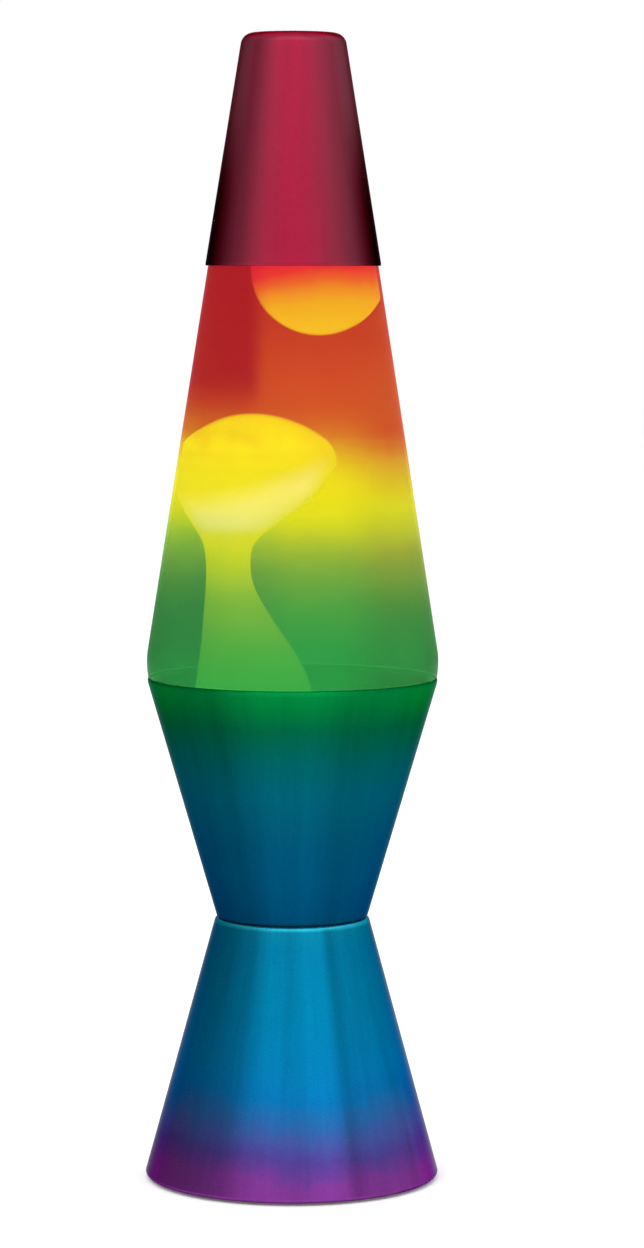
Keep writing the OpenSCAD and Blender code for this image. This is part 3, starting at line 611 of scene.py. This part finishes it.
for names, mat in [
        (["waist_screws", "waist_nuts", "socket_bracket", "socket_screws", "tie_bolt", "tie_washer", "tie_nut"], m_zinc),
        (["heating_coil"], m_coil), (["socket_screw_shell", "socket_centre_contact", "socket_terminals"], m_brass),
        (["socket_body"], m_phen), (["bottom_cover", "cord_bushing"], m_plas), (["rubber_feet"], m_rub),
        (["crown_cap"], m_gold), (["crown_liner"], m_liner), (["bulb_envelope"], m_bulb), (["bulb_stem"], m_stem),
        (["bulb_screw_cap"], m_bcap), (["bulb_insulator"], m_vit), (["bulb_contact_tip"], m_sold),
        (["bulb_lead_wires"], m_wire), (["bulb_filament"], m_fil),
        (["top_cap"], m_cap), (["base_upper_cone"], m_cup), (["base_lower_cone"], m_foot),
        (["globe_bottle"], m_globe), (["globe_liquid"], m_liquid), (["wax_rising"], m_wax), (["wax_top_blob"], m_blob)]:
    for n in names:
        dress(n, mat)


def two_sided(ob, outer, inner, is_outer):
    """Paint outside, bare metal inside."""
    ob.data.materials.append(outer)
    ob.data.materials.append(inner)
    for p in ob.data.polygons:
        p.material_index = 0 if is_outer(p.center / MM, p.normal) else 1


# ---------------------------------------------------------------- cap
r1 = CAP_R - CAP_TAPER * (LAMP_H - CAP_Z)
ti = CAP_T / math.cos(math.atan(CAP_TAPER))
prof = fillet([(0, LAMP_H, 0), (r1 - 6, LAMP_H - 0.02, 0), (r1, LAMP_H - 0.1, CAP_ROUND), (CAP_R - 0.10, CAP_Z + 1.4, 0),
               (CAP_R, CAP_Z + 1.0, 0.4), (CAP_R, CAP_Z, 0.25), (CAP_R - ti - 0.05, CAP_Z, 0.2), (CAP_R - ti - 0.05, CAP_Z + 1.2, 0.2),
               (r1 - ti + CAP_TAPER * CAP_T, LAMP_H - CAP_T, CAP_ROUND - CAP_T), (0, LAMP_H - CAP_T, 0)], 12)
cap = lathe("top_cap_spun", finer(prof, 3.0), 256)
two_sided(cap, m_cap, m_bare, lambda c, n: n.z > 0.3 and c.z > LAMP_H - 6 and n.z > 0 and c.z > LAMP_H - CAP_T * 0.5 or (n.x * c.x + n.y * c.y) > 0 or c.z > LAMP_H - CAP_T * 0.5)
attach(cap, "cap")
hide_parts("top_cap")

# ---------------------------------------------------------------- upper cone (the cup)
z = WAIST_Z + 0.02
ti = SHEET / math.cos(CUP_A)
prof = fillet([(18.7, z, 0), (WAIST_R - 0.3, z, 0.9), (RIM_R - 0.12, RIM_Z - 1.6, 0.6), (RIM_R, RIM_Z - 0.9, 0.5), (RIM_R, RIM_Z, 0.42), (RIM_R - ti - 0.1, RIM_Z, 0.4),
               (RIM_R - ti - 0.35, RIM_Z - 1.4, 0.5), (WAIST_R - 0.3 - ti + CUP_M * SHEET, z + SHEET, 0.5), (18.7, z + SHEET, 0)], 8)
cup = lathe("upper_cone_spun", finer(prof, 3.0), 256)
# outside painted; inside, bare metal with the bulb's painted glow
two_sided(cup, m_cup, m_lit, lambda c, n: (n.x * c.x + n.y * c.y) > -0.2 * math.hypot(c.x, c.y) and math.hypot(c.x, c.y) > WAIST_R - 2)
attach(cup, "base")
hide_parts("base_upper_cone")


# ---------------------------------------------------------------- globe
def bottle_profile():
    return fillet([(0, GZ + 5, 0), (14, GZ + 4, 12), (21.5, GZ + 0.1, 1.5), (24.5, GZ, 1.5),
                   (cup_in(GZ) - 1.25, GZ, 5), (cup_in(RIM_Z - 0.7) - 1.25, RIM_Z - 0.7, 1.5),
                   (45.0, RIM_Z + 0.06, 0.4), (46.45, RIM_Z + 0.08, 0.45), (glass_r(168), 168, 26),
                   (glass_r(330), 330, 22), (glass_r(330) - 2.6, 337.5, 4), (12.9, 341, 4),
                   (12.9, 345.2, 0.8), (13.4, 346, 0.5), (13.4, 351, 1.2), (12.4, LIP_Z, 0.8), (9.2, LIP_Z, 1.0),
                   (9.2, 338.5, 4), (bore_r(329) - 2.4, 334.6, 4), (bore_r(329), 329, 18), (bore_r(168) - 0.25, 167.6, 22),
                   (cup_in(RIM_Z - 2) - 3.2, RIM_Z - 2, 4), (cup_in(GZ + 2.7) - 3.2, GZ + 2.7, 3.2), (21.0, GZ + 2.7, 1.2),
                   (13.6, GZ + 6.6, 12), (0, GZ + 7.6, 0)], 10)


bottle = lathe("globe_glass_bottle", finer(bottle_profile(), 4.0), 256, 60)
bottle.data.materials.append(m_globe)
bottle.data.materials.append(m_inner)
bottle.data.materials.append(m_flange)
for p in bottle.data.polygons:
    c = p.center / MM
    r = math.hypot(c.x, c.y)
    inside = (c.x * p.normal.x + c.y * p.normal.y) < 0 and c.z > GZ + 8 and r < 45.4 or (c.z < GZ + 9 and p.normal.z > 0.3)
    under = RIM_Z - 2 < c.z < RIM_Z + 1.2 and p.normal.z < -0.25
    p.material_index = 1 if inside else 2 if under else 0
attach(bottle, "globe")
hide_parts("globe_bottle")

INNER = fillet([(0, GZ + 7.6, 0), (13.6, GZ + 6.6, 12), (21.0, GZ + 2.7, 1.2), (cup_in(GZ + 2.7) - 3.2, GZ + 2.7, 3.2),
                (cup_in(RIM_Z - 2) - 3.2, RIM_Z - 2, 4), (bore_r(168) - 0.25, 167.6, 22), (bore_r(LIQUID_Z), LIQUID_Z, 0), (0, LIQUID_Z, 0)], 10)


def inner_r(z):
    """Radius of the bottle's inside at a height above its bottom."""
    best = 0
    for (ra, za), (rb, zb) in zip(INNER, INNER[1:]):
        if za != zb and min(za, zb) <= z <= max(za, zb) and ra > 20:
            best = max(best, ra + (rb - ra) * (z - za) / (zb - za))
    return best or bore_r(z)


liquid = lathe("globe_liquid_fill", finer([(max(0, r - 0.12) if r > 0 else 0, zz + (0.05 if zz < 125 else 0)) for r, zz in INNER], 4.0), 192, 50)
liquid.data.materials.append(m_liquid)
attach(liquid, "globe")
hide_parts("globe_liquid")


# ---------------------------------------------------------------- wax
def spline(keys, z):
    """Catmull-Rom through [(z, a, b)] rows."""
    n = len(keys)
    i = max(0, min(n - 2, max(k for k in range(n) if keys[k][0] <= z or k == 0)))
    p = [keys[max(0, i - 1)], keys[i], keys[i + 1], keys[min(n - 1, i + 2)]]
    t = (z - p[1][0]) / (p[2][0] - p[1][0])
    out = []
    for c in (1, 2):
        m1 = (p[2][c] - p[0][c]) / max(1e-6, p[2][0] - p[0][0]) * (p[2][0] - p[1][0])
        m2 = (p[3][c] - p[1][c]) / max(1e-6, p[3][0] - p[1][0]) * (p[2][0] - p[1][0])
        out.append((2 * t ** 3 - 3 * t ** 2 + 1) * p[1][c] + (t ** 3 - 2 * t ** 2 + t) * m1 + (-2 * t ** 3 + 3 * t ** 2) * p[2][c] + (t ** 3 - t ** 2) * m2)
    return out


COLUMN = [(136.0, -7.0, 27.5), (142.0, -9.0, 24.0), (150.0, -11.6, 20.8), (157.8, -12.4, 19.0), (164.0, -13.1, 17.7), (171.6, -14.7, 15.2),
          (181.3, -17.6, 11.4), (191.0, -20.1, 8.1), (198.7, -20.8, 7.2), (205.8, -20.5, 8.5), (211.8, -18.6, 13.6),
          (217.0, -16.3, 19.0), (221.8, -14.4, 22.8), (226.5, -12.6, 24.2), (231.4, -11.4, 25.8), (237.8, -11.6, 23.6),
          (242.5, -12.0, 17.6), (245.6, -12.6, 11.0), (247.2, -13.0, 4.6), (247.5, -13.0, 0.4)]


def ring(cx, r, z, seg, wob):
    out = []
    lim = inner_r(z) - 0.13
    for k in range(seg):
        a = 2 * math.pi * k / seg
        w = 1 + wob * noise.noise(Vector((math.cos(a) * 1.3, math.sin(a) * 1.3, z * 0.045)))
        x, y = cx + r * w * math.cos(a), r * w * math.sin(a)
        d = math.hypot(x, y)
        if d > lim:
            x, y = x * lim / d, y * lim / d
        out.append((x * MM, y * MM, z * MM))
    return out


def loft(name, rows, seg):
    verts = [v for row in rows for v in row]
    n = len(rows)
    faces = [[i * seg + k, i * seg + (k + 1) % seg, (i + 1) * seg + (k + 1) % seg, (i + 1) * seg + k] for i in range(n - 1) for k in range(seg)]
    faces.append(list(range(seg))[::-1])
    faces.append([(n - 1) * seg + k for k in range(seg)])
    return mesh_object(name, verts, faces, 70)


SEG = 96
rows = []
for zz in (115.2, 117, 120, 124, 128, 131, 133.2):
    rows.append(ring(0, inner_r(zz) - 0.4, zz, SEG, 0))
for zz, cx, rr in ((134.6, -1.0, inner_r(134.6) - 2.2), (135.4, -3.5, 30.2)):
    rows.append(ring(cx, rr, zz, SEG, 0))
zz = 136.0
while zz < 247.45:
    cx, rr = spline(COLUMN, zz)
    rows.append(ring(cx, max(0.3, rr), zz, SEG, 0.03))
    zz += 0.9 if zz < 240 else 0.35
wax = loft("wax_rising_mass", rows, SEG)
wax.data.materials.append(m_wax)
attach(wax, "globe")
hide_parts("wax_rising")

rows = []
N = 56
for i in range(N + 1):
    a = -math.pi / 2 + math.pi * i / N
    rows.append(ring(8.3, max(0.15, 22.3 * math.cos(a)), 294.5 + 22.3 * math.sin(a), SEG, 0.02))
blob = loft("wax_top_mass", rows, SEG)
blob.data.materials.append(m_blob)
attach(blob, "globe")
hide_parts("wax_top_blob")

# ---------------------------------------------------------------- floor, light and camera
floor_me = bpy.data.meshes.new("floor")
S = 6.0
floor_me.from_pydata([(-S, -S, 0), (S, -S, 0), (S, S, 0), (-S, S, 0)], [], [(0, 1, 2, 3)])
floor = bpy.data.objects.new("floor", floor_me)
scene.collection.objects.link(floor)
t = Tree("floor_pale")
obj, x, y, z = t.xyz()
v = t.noise(obj, 3.0, 3.0, 0.5)
p = t.principled(Base_Color=t.mix(v, (0.90, 0.90, 0.90), (0.93, 0.93, 0.93)), Roughness=0.85, Normal=t.bump(t.noise(obj, 300.0, 2.0, 0.5), 0.02, 0.0003))
p.inputs["Specular IOR Level"].default_value = 0.1
p.inputs["Emission Color"].default_value = (1, 1, 1, 1)
p.inputs["Emission Strength"].default_value = 0.10
floor_me.materials.append(t.surface(p.outputs[0]))

world = bpy.data.worlds.new("studio")
scene.world = world
world.use_nodes = True
bg = world.node_tree.nodes["Background"]
bg.inputs[0].default_value = (1.0, 1.0, 1.0, 1)
bg.inputs[1].default_value = 1.0

# A tent that only shows in reflections: soft strips and flags by direction
TR, TH = 1.9, 3.2
verts, faces = [], []
TS = 96
for k in range(TS):
    a = 2 * math.pi * k / TS
    verts += [(TR * math.cos(a), TR * math.sin(a), 0.0), (TR * math.cos(a), TR * math.sin(a), TH)]
for k in range(TS):
    j = (k + 1) % TS
    faces.append((2 * k, 2 * j, 2 * j + 1, 2 * k + 1))
tent_me = bpy.data.meshes.new("reflection_tent")
tent_me.from_pydata(verts, [], faces)
tent = bpy.data.objects.new("reflection_tent", tent_me)
scene.collection.objects.link(tent)
t = Tree("tent_light")
obj, x, y, z = t.xyz()
ang = t.math("ARCTAN2", x, t.math("MULTIPLY", y, -1.0))      # 0 at the front, + to the right
STRIPS = [(-180, 0.55), (-144, 0.42), (-116, 0.43), (-97, 0.45), (-81, 0.48), (-67, 0.54), (-55, 0.58), (-47, 0.68), (-40, 0.92), (-29, 0.90), (-17, 1.03), (-6, 0.92), (6, 0.97),
          (17, 1.07), (29, 1.05), (42, 0.97), (48, 0.72), (53.5, 0.50), (59, 0.74), (67, 0.88), (81, 0.98), (97, 0.92), (116, 0.83), (144, 0.78), (180, 0.55)]
CARD = [(-180, 1.0), (-144, 0.82), (-116, 0.80), (-97, 0.79), (-81, 0.78), (-67, 0.80), (-53.5, 0.93), (-41, 1.04), (-29, 0.97), (-17, 0.97), (0, 0.97),
        (17, 1.0), (29, 1.0), (41, 0.92), (53.5, 0.98), (67, 1.15), (81, 1.20), (97, 1.22), (116, 1.20), (144, 1.15), (180, 1.0)]


def strips(t, ang, rows):
    top = max(g for _, g in rows)
    n = t.node("ShaderNodeValToRGB")
    n.color_ramp.interpolation = "EASE"
    els = n.color_ramp.elements
    while len(els) < len(rows):
        els.new(0.5)
    for e, (a, g) in zip(els, rows):
        e.position = (a + 180) / 360
        e.color = (g / top, g / top, g / top, 1)
    t.link(t.map(ang, -math.pi, math.pi, 0.0, 1.0), n.inputs[0])
    return n.outputs[0], top


def reflected_only(ob):
    ob.visible_camera = False
    ob.visible_diffuse = False
    ob.visible_shadow = False
    ob.visible_transmission = False
    ob.visible_volume_scatter = False


light, top = strips(t, ang, STRIPS)
high = t.map(z, 1.10, 1.70, 0.5, 0.75, True)        # brighter overhead
em = t.node("ShaderNodeEmission")
t.link(t.mix(1.0, light, t.vec(high, high, high), "MULTIPLY"), em.inputs[0])
em.inputs[1].default_value = 2.0 * top
tent_me.materials.append(t.surface(em.outputs[0]))
reflected_only(tent)

# A card on the table that only shows in reflections, which the cup's underside faces
verts, faces = [], []
for k in range(TS):
    a = 2 * math.pi * k / TS
    verts += [(0.0495 * math.cos(a), 0.0495 * math.sin(a), 0.0012), (1.85 * math.cos(a), 1.85 * math.sin(a), 0.0012)]
for k in range(TS):
    j = (k + 1) % TS
    faces.append((2 * k, 2 * k + 1, 2 * j + 1, 2 * j))
card_me = bpy.data.meshes.new("table_card")
card_me.from_pydata(verts, [], faces)
card = bpy.data.objects.new("table_card", card_me)
scene.collection.objects.link(card)
t = Tree("table_card_light")
obj, x, y, z = t.xyz()
light, top = strips(t, t.math("ARCTAN2", x, t.math("MULTIPLY", y, -1.0)), CARD)
em = t.node("ShaderNodeEmission")
t.link(light, em.inputs[0])
em.inputs[1].default_value = 1.12 * top
card_me.materials.append(t.surface(em.outputs[0]))
reflected_only(card)


def area(name, loc, aim, size, power):
    d = bpy.data.lights.new(name, "AREA")
    d.shape = "RECTANGLE"
    d.size, d.size_y = size
    d.energy = power
    o = bpy.data.objects.new(name, d)
    scene.collection.objects.link(o)
    o.location = loc
    o.rotation_euler = (Vector(aim) - Vector(loc)).to_track_quat("-Z", "Y").to_euler()
    o.visible_camera = False
    o.visible_glossy = False
    return o


area("key", (-0.9, -1.2, 1.5), (0, 0, 0.15), (0.9, 0.9), 9)
area("fill", (1.3, -0.9, 1.0), (0, 0, 0.15), (0.9, 1.2), 4)
area("top", (0, 0.2, 1.9), (0, 0, 0), (1.4, 1.4), 8)

cam_data = bpy.data.cameras.new("camera")
cam_data.sensor_width = 36
cam_data.lens = 121.50
cam_data.clip_start = 0.05
cam_data.clip_end = 60
cam = bpy.data.objects.new("camera", cam_data)
scene.collection.objects.link(cam)
cam.location = (0, -1.35, 0.293)
# a slight roll, because the lamp leans by this much in the view
turn = Euler((math.radians(90 - 4.7974), 0, math.radians(-0.4002))).to_matrix() @ Matrix.Rotation(math.radians(0.1324), 3, "Z")
cam.rotation_euler = turn.to_euler()
scene.camera = cam
scene.view_settings.view_transform = "Standard"
scene.view_settings.look = "None"
